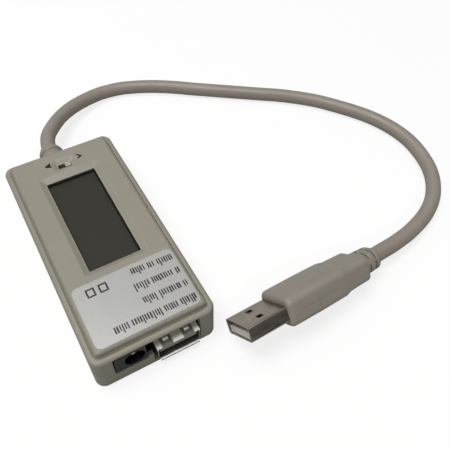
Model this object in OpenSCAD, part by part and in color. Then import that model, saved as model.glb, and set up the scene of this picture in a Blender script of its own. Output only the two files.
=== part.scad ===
// Inline USB power meter: a two-part plastic case with a liquid crystal
// window, a mode slide switch, a USB-A socket and a DC jack on one end,
// and a captive cable with a USB-A plug on the other. Millimetres.
// Z is up, Y runs from the sockets (-Y) to the cable (+Y), X is the width.

/* [Case] */
// Case width
case_w = 37; // [35:0.5:40]
// Case length
case_l = 80; // [76:0.5:86]
// Height of the shoulder at the joint of the two shells
rim_h = 13.7; // [12:0.1:15]
// Overall height of the case
case_h = 15.7; // [14:0.1:18]
// Wall of the lower shell, and radius of its shoulder
wall = 1.7; // [1.4:0.1:2.2]
// Radius of the case corners seen from above
corner_r = 3; // [2:0.5:5]
// Thickness of the floor
floor_t = 1.2; // [1:0.1:2]
// Thickness of the top plate
top_t = 1.5; // [1.2:0.1:2]

/* [Window] */
// Window width
win_w = 16; // [14:0.5:18]
// Window length
win_l = 37.6; // [34:0.2:40]
// Window centre along the case
win_y = 6.3; // [4:0.1:8]
// Depth of the sloping surround
bevel_d = 0.8; // [0.5:0.1:1.2]

/* [Switch] */
// Travel of the slide switch
sw_travel = 2.2; // [2:0.1:2.6]
// Width of the knob along its travel
knob_w = 1.9; // [1.8:0.1:2.4]
// Switch position along the case
sw_y = 30.85; // [30:0.05:32]
// Middle of the switch slot across the case
sw_x = 0.1; // [-1:0.1:1]

/* [Connectors] */
// Middle of the USB-A socket across the case
usb_x = 5.9; // [5:0.1:6]
// Outer width of the socket shell
usb_w = 13.1; // [13:0.05:13.3]
// Height of the socket shell
usb_h = 5.9; // [5.6:0.05:6]
// Middle of the DC jack hole across the case
jack_x = -6.8; // [-7.5:0.1:-6]
// Height of the jack hole
jack_z = 8.7; // [8.5:0.1:9.5]
// Diameter of the jack hole
jack_d = 6; // [5.8:0.1:6.4]

/* [Cable] */
// Cable diameter
cable_d = 5.2; // [4.8:0.1:5.4]
// Number of rings along the cable
cable_rings = 72; // [40:1:80]
// Cable position across the case
cable_x = -1.3; // [-2:0.1:0]
// Cable height at the case
cable_z = 8; // [7:0.1:9]

/* [Plug] */
// Plug shell width
plug_w = 12; // [11.9:0.05:12.1]
// Plug shell height
plug_h = 4.5; // [4.4:0.05:4.6]
// Bare length of the plug shell
plug_bare = 13.1; // [11.7:0.1:14]
// Width of the plug grip
grip_w = 14.4; // [14:0.1:16]
// Height of the plug grip
grip_h = 9; // [8:0.1:9.5]

/* [Hidden] */
$fn = 48;
shift_y = 0.5;
near = -case_l/2;
far = case_l/2;
usb_z0 = 2.7;
board_z0 = 1.5;
board_z1 = 2.7;
meter_z0 = 6.8;
meter_z1 = 8;
under = case_h - top_t;
boss_xy = [[14.4, -23.5], [-14.4, -23.5], [14.4, 34], [-14.4, 34]];
tip = [20.9, -47.6, 11];
aim = [-41, 6, 4.5];

// Rounded rectangle from squares and circles
module rr(w, l, r) {
    square([w - 2*r, l], center = true);
    square([w, l - 2*r], center = true);
    for (x = [-1, 1], y = [-1, 1]) translate([x*(w/2 - r), y*(l/2 - r)]) circle(r);
}
// Side profile with rounded top corners and softened bottom corners
module side(w, h, rt, rb) {
    translate([-w/2 + rt, 0]) square([w - 2*rt, h]);
    translate([-w/2, rb]) square([w, h - rt - rb]);
    translate([-w/2 + rb, 0]) square([w - 2*rb, h - rt]);
    for (s = [-1, 1]) {
        translate([s*(w/2 - rt), h - rt]) circle(rt);
        translate([s*(w/2 - rb), rb]) circle(rb);
    }
}
// Block with rounded corners, rounded top edges and softened bottom edges
module soft(w, l, h, rc, rt, rb) {
    intersection() {
        linear_extrude(h) rr(w, l, rc);
        translate([0, l/2 + 1, 0]) rotate([90, 0, 0]) linear_extrude(l + 2) side(w, h, rt, rb);
        translate([-w/2 - 1, 0, 0]) rotate([90, 0, 90]) linear_extrude(w + 2) side(l, h, rt, rb);
    }
}
// Sloped pocket: spans at the bottom (x0 x1, y0 y1) and at the top, z from z0 to z1
module pocket(bx, by, tx, ty, z0, z1) {
    intersection() {
        translate([0, ty[1] + 1, 0]) rotate([90, 0, 0]) linear_extrude(ty[1] - ty[0] + 2)
            polygon([[bx[0], z0], [bx[1], z0], [tx[1], z1], [tx[0], z1]]);
        translate([tx[0] - 1, 0, 0]) rotate([90, 0, 90]) linear_extrude(tx[1] - tx[0] + 2)
            polygon([[by[0], z0], [by[1], z0], [ty[1], z1], [ty[0], z1]]);
    }
}
module box(x0, x1, y0, y1, z0, z1) {
    translate([x0, y0, z0]) cube([x1 - x0, y1 - y0, z1 - z0]);
}
// Rod between two points
module rod(p, q, r) {
    d = q - p;
    n = norm(d);
    translate(p) rotate([0, acos(d[2]/n), atan2(d[1], d[0])]) cylinder(h = n, r = r, $fn = 24);
}
// Bent wire through points
module bent(pts, r) {
    for (i = [0:len(pts) - 2]) rod(pts[i], pts[i + 1], r);
    for (i = [1:len(pts) - 2]) translate(pts[i]) sphere(r, $fn = 24);
}
module place() translate([0, shift_y, 0]) children();
module plug_place() place() translate(tip) rotate([0, 0, aim[2]]) rotate([0, aim[1], 0])
    rotate([aim[0], 0, 0]) children();

module case_lower() color([0.70, 0.68, 0.62]) place() difference() {
    union() {
        difference() {
            soft(case_w, case_l, rim_h, corner_r, 1.1, 0.5);
            translate([0, 0, floor_t]) linear_extrude(rim_h)
                rr(case_w - 2*wall, case_l - 2*wall, corner_r - wall + 0.2);
        }
        for (p = boss_xy) translate([p[0], p[1], floor_t - 0.4]) cylinder(h = 5.9, r = 2.5);
        for (x = [-13, 13], y = [-8, 20]) translate([x, y, floor_t - 0.4])
            cylinder(h = board_z0 - floor_t + 0.4, r = 1.2);
    }
    for (p = boss_xy) translate([p[0], p[1], -1]) {
        cylinder(h = 9, r = 1.2);
        cylinder(h = 3.2, r = 2.05);
    }
    box(-12.9, 13, near - 1, near + wall + 0.6, 5.2, 12.8);
    box(-12.9, -3.1, near - 1, near + wall + 0.6, 4.7, 8);
    box(-1.4, 13, near - 1, near + wall + 0.6, floor_t, 8);
    translate([cable_x, far + 1, cable_z]) rotate([90, 0, 0]) cylinder(h = 4, r = 3.2);
}
module case_upper() color([0.72, 0.70, 0.64]) place() {
    cw = case_w - 2*wall - 0.3;
    cl = case_l - 2*wall - 0.3;
    difference() {
        translate([0, 0, rim_h - 0.7]) soft(cw, cl, case_h - rim_h + 0.7, 1.6, 1, 0.2);
        translate([0, 0, rim_h - 2]) linear_extrude(under - rim_h + 2) rr(cw - 3, cl - 3, 0.8);
        translate([0, win_y, under - 1]) linear_extrude(3) square([win_w, win_l], center = true);
        pocket([-win_w/2, win_w/2], [win_y - win_l/2, win_y + win_l/2],
            [-win_w/2 - 1.9, win_w/2 + 1.9], [win_y - win_l/2 - 1.6, win_y + win_l/2 + 2.8],
            case_h - bevel_d, case_h + 0.01);
        pocket([sw_x - 2.5, sw_x + 2.6], [sw_y - 1.15, sw_y + 1.2],
            [sw_x - 3.4, sw_x + 3.7], [sw_y - 1.9, sw_y + 3], case_h - 0.8, case_h + 0.01);
        box(sw_x - 2.15, sw_x + 2.15, sw_y - 0.95, sw_y + 0.95, under - 1, case_h);
    }
    for (p = boss_xy) translate([p[0], p[1], 7]) difference() {
        cylinder(h = under - 7 + 0.4, r = 2);
        translate([0, 0, -1]) cylinder(h = 7, r = 0.9);
    }
    for (x = [-10, 10], y = [-18, 31.5]) translate([x, y, meter_z1])
        cylinder(h = under - meter_z1 + 0.4, r = 1.1);
}
module case_screws() color([0.6, 0.6, 0.62]) place() for (p = boss_xy)
    translate([p[0], p[1], 0]) difference() {
        union() {
            translate([0, 0, 0.8]) cylinder(h = 1.4, r = 1.9);
            translate([0, 0, 2.1]) cylinder(h = 10.3, r = 0.88);
        }
        translate([-0.3, -1.2, 0]) cube([0.6, 2.4, 1.5]);
        translate([-1.2, -0.3, 0]) cube([2.4, 0.6, 1.5]);
    }
module window_lens() color([0.8, 0.85, 0.85, 0.4]) place()
    box(-10, 10, -15.2, 27, under - 0.7, under);
module lcd_polarizer() color([0.25, 0.26, 0.22]) place() box(-10.2, 10.2, -14.8, 26.6, 13.2, 13.4);
module lcd_glass() color([0.55, 0.6, 0.58]) place() {
    box(-10.3, 10.3, -15.4, 26.9, 12.3, 13.2);
    box(-11.2, 11.2, -15.4, 26.9, 11.4, 12.3);
}
module lcd_reflector() color([0.75, 0.76, 0.74]) place() box(-10, 10, -15, 26.6, 11.2, 11.4);
module lcd_holder() color([0.9, 0.9, 0.88]) place() difference() {
    box(-12, 12, -16.3, 27.8, meter_z1, 13);
    box(-11.3, 11.3, -15.5, 27, 11.2, 14);
    box(-9.2, 9.2, -14.5, 26, 7, 12);
    for (s = [-1, 1]) box(s*10.7 - 0.55, s*10.7 + 0.55, -14.5, 26, 7, 12);
}
module zebra_strips() color([0.85, 0.5, 0.55]) place() for (s = [-1, 1])
    box(s*10.7 - 0.5, s*10.7 + 0.5, -14.4, 25.9, meter_z1, 11.4);
module meter_board() color([0.1, 0.35, 0.18]) place() difference() {
    box(-12, 12, -19.5, 35.4, meter_z0, meter_z1);
    for (i = [0:5]) translate([-6.35 + 2.54*i, -18, 6]) cylinder(h = 3, r = 0.45);
    for (i = [-1:1], j = [-1, 1]) translate([sw_x + 2.5*i, sw_y + 1.1*j, 6]) cylinder(h = 3, r = 0.5);
}
module meter_chip() color([0.08, 0.08, 0.09]) place() {
    box(-5, 5, 0, 10, 5.4, 6.7);
}
module chip_pins() color([0.7, 0.7, 0.72]) place() for (i = [0:9]) {
    for (s = [-1, 1]) {
        box(min(s*5, s*6.2), max(s*5, s*6.2), 0.35 + i*0.95, 0.75 + i*0.95, 6.2, 6.4);
        box(min(s*5.9, s*6.2), max(s*5.9, s*6.2), 0.35 + i*0.95, 0.75 + i*0.95, 6.4, meter_z0);
    }
    for (y = [-1.2, 10]) box(-4.65 + i*0.95, -4.25 + i*0.95, y, y + 1.2, 6.2, 6.4);
    for (y = [-1.2, 10.9]) box(-4.65 + i*0.95, -4.25 + i*0.95, y, y + 0.3, 6.4, meter_z0);
}
module meter_resistors() color([0.12, 0.12, 0.13]) place() {
    for (i = [0:4]) box(-9.6, -7.6, -8 + i*3, -6.75 + i*3, 6.3, meter_z0);
    for (i = [0:3]) box(8, 10, -6 + i*3.2, -4.75 + i*3.2, 6.3, meter_z0);
}
module meter_capacitors() color([0.72, 0.6, 0.42]) place() {
    for (i = [0:2]) box(-3 + i*3, -1.75 + i*3, 15, 17, 5.9, meter_z0);
    box(6, 8, -12, -10.75, board_z1, 3.6);
    box(9, 11, -12, -10.75, board_z1, 3.6);
}
module header_strip() color([0.08, 0.08, 0.08]) place()
    difference() {
        box(-7.65, 7.65, -19.25, -16.75, board_z1, 5.2);
        for (i = [0:5]) translate([-6.35 + 2.54*i, -18, 0]) cylinder(h = 9, r = 0.42);
    }
module header_pins() color([0.85, 0.7, 0.3]) place() for (i = [0:5])
    translate([-6.35 + 2.54*i, -18, 1.3]) cylinder(h = 7.4, r = 0.4);
module main_board() color([0.1, 0.35, 0.18]) place() difference() {
    box(-16.1, 16.1, -37.6, 31, board_z0, board_z1);
    for (p = boss_xy) translate([p[0], p[1], 0]) cylinder(h = 5, r = 2.8);
    for (i = [0:5]) translate([-6.35 + 2.54*i, -18, 0]) cylinder(h = 5, r = 0.42);
    for (y = [0, 12]) translate([13.8, y, 0]) cylinder(h = 5, r = 0.75);
    for (s = [-1, 1]) box(usb_x + s*usb_w/2 - 0.5, usb_x + s*usb_w/2 + 0.5, near + 8.8, near + 10.6, 0, 5);
    for (i = [0:3]) translate([usb_x - 3.5 + i*7/3, -26, 0]) cylinder(h = 5, r = 0.5);
    for (p = [[jack_x, -28], [jack_x, -32], [-11.4, -30]]) translate([p[0], p[1], 0])
        cylinder(h = 5, r = 0.9);
}
module shunt() color([0.72, 0.5, 0.32]) place()
    bent([[13.8, 0, 1.4], [13.8, 0, 4.6], [13.8, 1.2, 5.6], [13.8, 10.8, 5.6], [13.8, 12, 4.6],
        [13.8, 12, 1.4]], 0.7);
module power_capacitor() color([0.12, 0.16, 0.3]) place() translate([-3.2, -22.4, board_z1])
    difference() {
        union() {
            translate([0, 0, 0.3]) cylinder(h = 7.6, r = 2.5);
            cylinder(h = 0.5, r = 2.3);
        }
        translate([-2, -0.1, 7.7]) cube([4, 0.2, 1]);
        translate([-0.1, -2, 7.7]) cube([0.2, 4, 1]);
    }
module fuse() color([0.2, 0.45, 0.25]) place() box(6, 10.5, -23.2, -20, board_z1, 3.9);
module regulator() color([0.1, 0.1, 0.1]) place() {
    box(-11, -6.5, 18, 20.5, board_z1, 4.2);
    for (i = [0:2]) box(-10.7 + i*1.5, -10.3 + i*1.5, 17, 18, board_z1, 3);
}
module trimmer() color([0.15, 0.3, 0.65]) place() difference() {
    box(7, 10.4, 14, 17.4, board_z1, 4.4);
    translate([8.7, 15.7, 4]) cylinder(h = 1, r = 1.25);
}
module trimmer_rotor() color([0.85, 0.7, 0.35]) place() difference() {
    translate([8.7, 15.7, 4]) cylinder(h = 0.6, r = 1.15);
    box(7.9, 9.5, 15.55, 15.85, 4.3, 5);
}
module switch_frame() color([0.75, 0.75, 0.76]) place() difference() {
    box(sw_x - 4.3, sw_x + 4.3, sw_y - 2.2, sw_y + 2.2, meter_z1, 14.1);
    box(sw_x - 3.9, sw_x + 3.9, sw_y - 1.8, sw_y + 1.8, 7, 13.7);
    box(sw_x - 2.4, sw_x + 2.4, sw_y - 1.15, sw_y + 1.15, 13, 15);
    box(sw_x - 3.2, sw_x + 3.2, sw_y - 3, sw_y + 3, 7, 9);
}
module switch_base() color([0.45, 0.28, 0.16]) place() difference() {
    box(sw_x - 3.85, sw_x + 3.85, sw_y - 1.75, sw_y + 1.75, 8.1, 9.4);
    for (i = [-1:1], j = [-1, 1]) translate([sw_x + 2.5*i, sw_y + 1.1*j, 8]) cylinder(h = 3, r = 0.42);
}
module switch_terminals() color([0.8, 0.78, 0.7]) place() for (i = [-1:1], j = [-1, 1])
    translate([sw_x + 2.5*i, sw_y + 1.1*j, 6]) cylinder(h = 3.6, r = 0.4);
module switch_knob() color([0.82, 0.8, 0.7]) place() {
    kx = sw_x + 2 - knob_w/2;
    difference() {
        union() {
            box(kx - knob_w/2, kx + knob_w/2, sw_y - 0.85, sw_y + 0.85, 13.1, 15.3);
            box(kx - 1.5, kx + 1.5, sw_y - 1.6, sw_y + 1.6, 11, 13.2);
        }
        for (i = [-1:1]) box(kx + i*0.55 - 0.1, kx + i*0.55 + 0.1, sw_y - 2, sw_y + 2, 15.15, 16);
    }
}
// Thin laminate slide that keeps the slot closed beside the knob
module switch_shutter() color([0.42, 0.26, 0.15]) place() difference() {
    kx = sw_x + 2 - knob_w/2;
    box(kx - 2.7, kx + 2.7, sw_y - 1.6, sw_y + 1.6, 13.25, 13.55);
    box(kx - knob_w/2 - 0.02, kx + knob_w/2 + 0.02, sw_y - 0.87, sw_y + 0.87, 13, 14);
}
module switch_contact() color([0.8, 0.65, 0.35]) place() {
    kx = sw_x + 2 - knob_w/2;
    for (j = [-1, 1]) {
        box(kx - 1.4, kx + 1.4, sw_y + j*1.1 - 0.35, sw_y + j*1.1 + 0.35, 10.8, 11);
        for (s = [-1, 1]) translate([kx + s*1.1, sw_y + j*1.1 - 0.35, 10.5]) rotate([-90, 0, 0])
            cylinder(h = 0.7, r = 0.3, $fn = 24);
        box(kx - 1.1, kx + 1.1, sw_y + j*1.1 - 0.35, sw_y + j*1.1 + 0.35, 10.6, 10.8);
    }
}
module usb_shell() color([0.74, 0.74, 0.75]) place() translate([usb_x, 0, usb_z0]) {
    w = usb_w/2;
    difference() {
        union() {
            box(-w, w, near - 0.8, near + 13.4, 0, usb_h);
            translate([-w + 0.5, 0, 0]) rotate([90, 0, 90]) linear_extrude(usb_w - 1)
                polygon([[near - 0.3, 0.02], [near - 0.3, 0.34], [near - 0.85, 0.34], [near - 1.45, -0.1],
                    [near - 1.45, -0.42], [near - 0.9, 0]]);
        }
        box(-w + 0.36, w - 0.36, near - 2, near + 14, 0.36, usb_h - 0.36);
        for (s = [-1, 1]) difference() {
            box(s*3.25 - 1.7, s*3.25 + 1.7, near - 2, near + 9, usb_h - 1, usb_h + 2);
            box(s*3.25 - 0.75, s*3.25 + 0.75, near + 1.4, near + 10, usb_h - 1, usb_h + 2);
        }
        for (s = [-1, 1]) box(s*w - 0.2 - 1, s*w + 0.2 + 1, near + 4, near + 7, 2.2, 3.6);
    }
    for (s = [-1, 1]) box(s*w - (s > 0 ? 0.36 : 0), s*w + (s > 0 ? 0 : 0.36), near + 9, near + 10.4, -1.4, 0.4);
    for (s = [-1, 1]) translate([s*3.25 - 0.75, near + 1.5, usb_h - 0.15]) rotate([0, 90, 0])
        cylinder(h = 1.5, r = 0.6, $fn = 24);
}
module usb_tongue() color([0.86, 0.86, 0.84]) place() translate([usb_x, 0, usb_z0]) {
    difference() {
        box(-5.75, 5.75, near - 0.3, near + 9, usb_h - 2.95, usb_h - 0.9);
        for (i = [0:3]) box(-3.5 + i*7/3 - 0.55, -3.5 + i*7/3 + 0.55, near + 1.2, near + 10, 1, usb_h - 2.75);
    }
    difference() {
        box(-6.1, 6.1, near + 8.6, near + 13.3, 0.4, usb_h - 0.4);
        for (i = [0:3]) box(-3.5 + i*7/3 - 0.55, -3.5 + i*7/3 + 0.55, near + 8, near + 14, 1, usb_h - 2.75);
    }
}
module usb_contacts() color([0.85, 0.7, 0.35]) place() translate([usb_x, 0, usb_z0])
    for (i = [0:3]) {
        cx = -3.5 + i*7/3;
        box(cx - 0.5, cx + 0.5, near + 1.4, near + 14.2, usb_h - 3.05, usb_h - 2.8);
        box(cx - 0.3, cx + 0.3, near + 13.8, near + 14.2, -1.4, usb_h - 2.8);
    }
module jack_body() color([0.06, 0.06, 0.07]) place() difference() {
    union() {
        box(-12.6, -3.4, near + 0.1, near + 2.4, 4.9, 12.6);
        box(-12.6, -3.4, near + wall + 0.2, near + 12.8, board_z1, 12.6);
    }
    translate([jack_x, near + 10, jack_z]) rotate([90, 0, 0]) cylinder(h = 12, d = jack_d);
    translate([jack_x, near + 13, jack_z]) rotate([90, 0, 0]) cylinder(h = 4, r = 1.02);
    box(jack_x - 1.1, jack_x + 1.1, near + 0.9, near + 11, jack_z + 2, 13);
}
module jack_pin() color([0.8, 0.8, 0.8]) place() {
    translate([jack_x, near + 12.8, jack_z]) rotate([90, 0, 0]) cylinder(h = 9.8, r = 1);
    translate([jack_x, near + 3, jack_z]) sphere(r = 1);
}
module jack_spring() color([0.85, 0.85, 0.85]) place() {
    box(jack_x - 0.9, jack_x + 0.9, near + 1.2, near + 3, jack_z + 2.55, jack_z + 2.85);
    box(jack_x - 0.9, jack_x + 0.9, near + 2.7, near + 10.8, jack_z + 2.75, jack_z + 3.05);
}
module jack_terminals() color([0.8, 0.8, 0.8]) place() {
    for (p = [[jack_x, -28], [jack_x, -32], [-11.4, -30]])
        translate([p[0], p[1], 0.9 + floor_t - 0.8]) cylinder(h = board_z1 - floor_t - 0.1, r = 0.8);
}
module label() color([0.78, 0.79, 0.78]) place() translate([0.1, -26.7, case_h])
    linear_extrude(0.12) rr(30.8, 20.6, 1.8);
// One printed row: words as plain bars, measured from the row's start
module words(y, h, list) {
    for (w = list) box(14.6 - w[0] - w[1], 14.6 - w[0], y - h/2, y + h/2, case_h + 0.12, case_h + 0.17);
}
module label_print() color([0.12, 0.1, 0.11]) place() {
    words(-19.1, 1.9, [[0.3, 4.8], [5.8, 2], [8.6, 4.4]]);
    words(-24.2, 1.9, [[0.4, 1.2], [2.3, 6.6], [9.6, 4.6]]);
    words(-29.2, 1.9, [[0.3, 1.2], [2.2, 6.6], [9.6, 4.6]]);
    words(-34.1, 1.9, [[0.2, 5], [6, 4.4], [11.2, 8.4], [20.4, 4.6]]);
    for (x = [-10.4, -6.7]) translate([x, -19.8, case_h + 0.12]) linear_extrude(0.05) difference() {
        square([2.6, 2.9], center = true);
        square([1.6, 1.9], center = true);
    }
}
module switch_marks() color([0.12, 0.11, 0.1]) place() {
    translate([-4.9, 32.2, case_h]) linear_extrude(0.05)
        polygon([[-1.1, 0.25], [-1.05, -0.35], [0.85, -1.15], [0.6, 0], [0.95, 1.2]]);
    translate([5.6, 31.9, case_h]) linear_extrude(0.05)
        polygon([[1, -0.2], [-0.45, 1.4], [-0.85, 1.1], [0, 0], [-0.9, -0.5], [-0.7, -1]]);
}
module cable_gland() color([0.66, 0.64, 0.59]) place() translate([cable_x, 0, cable_z])
    rotate([-90, 0, 0]) rotate_extrude() polygon([[cable_d/2 + 0.02, far - 3.2], [4.6, far - 3.2],
        [4.6, far - wall - 0.02], [3.15, far - wall - 0.02], [3.15, far + 0.02], [4.3, far + 0.02],
        [4.3, far + 3.4], [3.95, far + 3.7], [3.95, far + 4.1], [4.25, far + 4.4], [4.1, far + 5.8],
        [2.95, far + 8.4], [cable_d/2 + 0.02, far + 8.4]]);

// Route of the cable, from inside the case to the plug
route = [[-1.3, 36.6, 8], [-1.3, 43, 8], [-1.2, 48, 8], [0.4, 54.2, 7.8], [3.5, 59.1, 7.1],
    [8.8, 65.2, 5.8], [16, 70.4, 4.4], [25.4, 73.9, 3.2], [32.2, 74.4, 2.7], [38.5, 73.2, 2.6],
    [47, 69.6, 2.6], [55, 64.8, 2.6], [63, 59, 2.6], [70.5, 53.7, 2.6], [77.6, 48.7, 2.6],
    [84.3, 44, 2.6], [91.2, 39.2, 2.6], [98, 33.6, 2.6], [104, 27.6, 2.6], [111.2, 18.2, 2.6],
    [116, 10.4, 2.6], [119.2, 2, 2.6], [120.4, -7, 2.6], [119, -16.6, 2.6], [115.6, -24.8, 2.6],
    [109.6, -32, 2.6], [101.6, -37.2, 2.8], [92, -40.6, 3.4], [83.4, -42.4, 4.3], [77.8, -43.1, 5],
    [73, -43.6, 5.5], [68.5, -43.9, 6]];
function pt(q, i) = i < 0 ? 2*q[0] - q[1]
    : i >= len(q) ? 2*q[len(q) - 1] - q[len(q) - 2] : q[i];
// Point of a smooth curve through the points of q
function curve(q, u) = let (i = min(len(q) - 2, max(0, floor(u))), t = u - i,
    a = pt(q, i - 1), b = pt(q, i), c = pt(q, i + 1), d = pt(q, i + 2))
    0.5*(2*b + (c - a)*t + (2*a - 5*b + 4*c - d)*t*t + (3*b - a - 3*c + d)*t*t*t);
function unit(v) = v/norm(v);
function ring(q, u, r, n, side) = let (e = 0.01, p = curve(q, u),
    t = unit(curve(q, u + e) - curve(q, u - e)), s = unit(cross(t, side)), k = cross(s, t))
    [for (j = [0:n - 1]) p + r*(cos(360*j/n)*s + sin(360*j/n)*k)];
// Tube of radius r along q, n sides and m rings
module tube(q, r, n, m, side) {
    last = len(q) - 1;
    pts = [for (i = [0:m - 1]) each ring(q, last*i/(m - 1), r, n, side)];
    faces = concat([[for (j = [0:n - 1]) j]],
        [for (i = [0:m - 2], j = [0:n - 1]) [i*n + j, (i + 1)*n + j, (i + 1)*n + (j + 1)%n, i*n + (j + 1)%n]],
        [[for (j = [n - 1:-1:0]) (m - 1)*n + j]]);
    polyhedron(points = pts, faces = faces, convexity = 8);
}
module cable() color([0.64, 0.62, 0.57]) place() tube(route, cable_d/2, 12, cable_rings, [0, 0, 1]);
// Cores of the cable, bent down onto the main board
module wire(dx, dz, px) place() tube([[cable_x + dx, 36.1, cable_z + dz],
    [(cable_x + dx + px)/2, 35.9, 5.9 + dz], [px, 35.4, 4.5], [px, 32.4, 3.5], [px, 29, 3.3]],
    0.4, 8, 17, [1, 0, 0]);
module wire_red() color([0.7, 0.08, 0.06]) wire(-1.2, 0.7, -5);
module wire_white() color([0.85, 0.85, 0.82]) wire(1.2, 0.7, 2);
module wire_green() color([0.1, 0.45, 0.2]) wire(-1.2, -0.7, -3);
module wire_black() color([0.05, 0.05, 0.05]) wire(1.2, -0.7, -0.6);

module plug_bar(w, h, r, a0, a1) {
    translate([a0, 0, 0]) rotate([90, 0, 90]) linear_extrude(a1 - a0) rr(w, h, r);
}
module plug_grip() color([0.66, 0.64, 0.59]) plug_place() difference() {
    union() {
        plug_bar(grip_w - 1.2, grip_h - 1.2, 1.6, plug_bare, 36);
        plug_bar(grip_w, grip_h, 2, plug_bare + 0.7, 34.9);
        plug_bar(13, 8.1, 1.9, 35.6, 44.3);
        plug_bar(11.8, 7.1, 1.8, 44, 44.9);
    }
    plug_bar(plug_w, plug_h, 0.5, plug_bare - 1, plug_bare + 5);
    plug_bar(cable_d + 0.04, cable_d + 0.04, cable_d/2 + 0.01, 43, 46);
}
module plug_relief() color([0.66, 0.64, 0.59]) plug_place() difference() {
    union() {
        plug_bar(9.4, 7.1, 3, 44.9, 46.4);
        plug_bar(7.7, 6, 2.8, 46, 50);
        plug_bar(9.2, 7, 3, 47.2, 48.8);
        plug_bar(9, 6.9, 3, 49.6, 51.2);
        plug_bar(7.6, 6.2, 2.9, 51, 51.8);
        for (a = [46.2, 48.7]) {
            translate([a, -0.4, -3.4]) cube([1.1, 0.8, 6.8]);
            translate([a, -4.4, 0.1]) cube([1.1, 8.8, 1.4]);
        }
    }
    plug_bar(cable_d + 0.04, cable_d + 0.04, cable_d/2 + 0.01, 44, 53);
}
module plug_shell() color([0.72, 0.71, 0.69]) plug_place() difference() {
    plug_bar(plug_w, plug_h, 0.5, 0, plug_bare + 4.9);
    plug_bar(plug_w - 0.6, plug_h - 0.6, 0.25, -1, plug_bare + 4.5);
    for (s = [-1, 1], k = [-1, 1]) translate([5.2, s*2.75 - 0.95, k*plug_h/2 - 0.5]) cube([1.9, 1.9, 1]);
}
module plug_insulator() color([0.83, 0.83, 0.8]) plug_place() difference() {
    translate([0.5, -5.6, -1.9]) cube([16, 11.2, 1.92]);
    for (i = [0:3]) translate([1.6, -3.5 + i*7/3 - 0.55, -0.28]) cube([12, 1.1, 1]);
}
module plug_contacts() color([0.85, 0.7, 0.35]) plug_place() for (i = [0:3])
    translate([1.7, -3.5 + i*7/3 - 0.5, -0.28]) cube([11.8, 1, 0.33]);

case_lower();
case_upper();
case_screws();
window_lens();
lcd_polarizer();
lcd_glass();
lcd_reflector();
lcd_holder();
zebra_strips();
meter_board();
meter_chip();
chip_pins();
meter_resistors();
meter_capacitors();
header_strip();
header_pins();
main_board();
shunt();
power_capacitor();
fuse();
regulator();
trimmer();
trimmer_rotor();
switch_frame();
switch_base();
switch_terminals();
switch_knob();
switch_shutter();
switch_contact();
usb_shell();
usb_tongue();
usb_contacts();
jack_body();
jack_pin();
jack_spring();
jack_terminals();
label();
label_print();
switch_marks();
cable_gland();
cable();
wire_red();
wire_white();
wire_green();
wire_black();
plug_grip();
plug_relief();
plug_shell();
plug_insulator();
plug_contacts();
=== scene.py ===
import math
import random

import bpy
from mathutils import Matrix, Vector


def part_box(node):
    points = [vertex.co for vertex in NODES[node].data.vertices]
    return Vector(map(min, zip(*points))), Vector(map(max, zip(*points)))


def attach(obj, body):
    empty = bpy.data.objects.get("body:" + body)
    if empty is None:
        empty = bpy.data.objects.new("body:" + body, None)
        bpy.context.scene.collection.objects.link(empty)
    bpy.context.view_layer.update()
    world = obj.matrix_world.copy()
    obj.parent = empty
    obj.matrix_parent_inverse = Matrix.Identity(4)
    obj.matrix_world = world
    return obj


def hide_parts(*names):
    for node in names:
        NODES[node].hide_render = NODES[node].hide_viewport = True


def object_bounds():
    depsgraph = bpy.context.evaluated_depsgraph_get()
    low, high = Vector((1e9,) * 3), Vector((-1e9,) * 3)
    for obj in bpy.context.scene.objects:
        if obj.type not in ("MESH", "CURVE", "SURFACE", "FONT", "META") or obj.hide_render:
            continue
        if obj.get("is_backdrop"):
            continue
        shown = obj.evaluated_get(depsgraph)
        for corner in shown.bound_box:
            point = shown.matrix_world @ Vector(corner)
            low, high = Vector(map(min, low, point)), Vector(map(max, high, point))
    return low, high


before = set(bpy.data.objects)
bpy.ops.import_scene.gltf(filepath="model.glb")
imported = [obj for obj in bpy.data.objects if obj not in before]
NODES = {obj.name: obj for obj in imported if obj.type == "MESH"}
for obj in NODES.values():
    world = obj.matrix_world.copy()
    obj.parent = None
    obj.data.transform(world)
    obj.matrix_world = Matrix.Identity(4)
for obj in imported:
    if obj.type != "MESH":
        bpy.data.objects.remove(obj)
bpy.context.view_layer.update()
MM = 0.001
tray_low, tray_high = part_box("case_lower")
cover_low, cover_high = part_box("case_upper")
MID = (tray_low.y + tray_high.y) / 2 / MM      # middle of the case along Y, in mm
NEAR, FAR = tray_low.y / MM, tray_high.y / MM
RIM, TOP = tray_high.z / MM, cover_high.z / MM
CASE_W, CASE_L = (tray_high.x - tray_low.x) / MM, FAR - NEAR
COVER_W, COVER_L = (cover_high.x - cover_low.x) / MM, (cover_high.y - cover_low.y) / MM

scene = bpy.context.scene
scene.view_settings.view_transform = "Standard"
scene.view_settings.look = "None"

# ---------------------------------------------------------------- camera
cam_data = bpy.data.cameras.new("camera")
cam = bpy.data.objects.new("camera", cam_data)
scene.collection.objects.link(cam)
cam_data.lens, cam_data.sensor_width = 44.5, 36
cam_data.clip_start, cam_data.clip_end = 0.005, 50
eye = Vector((-0.0190, -0.1053, 0.1496))
aim = Vector((0.0401, -0.0061, 0))
CAMERA_ROLL = 1.5                               # degrees
turn = (aim - eye).to_track_quat("-Z", "Y").to_matrix().to_4x4()
cam.matrix_world = Matrix.Translation(eye) @ turn @ Matrix.Rotation(math.radians(CAMERA_ROLL), 4, "Z")
scene.camera = cam


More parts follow.
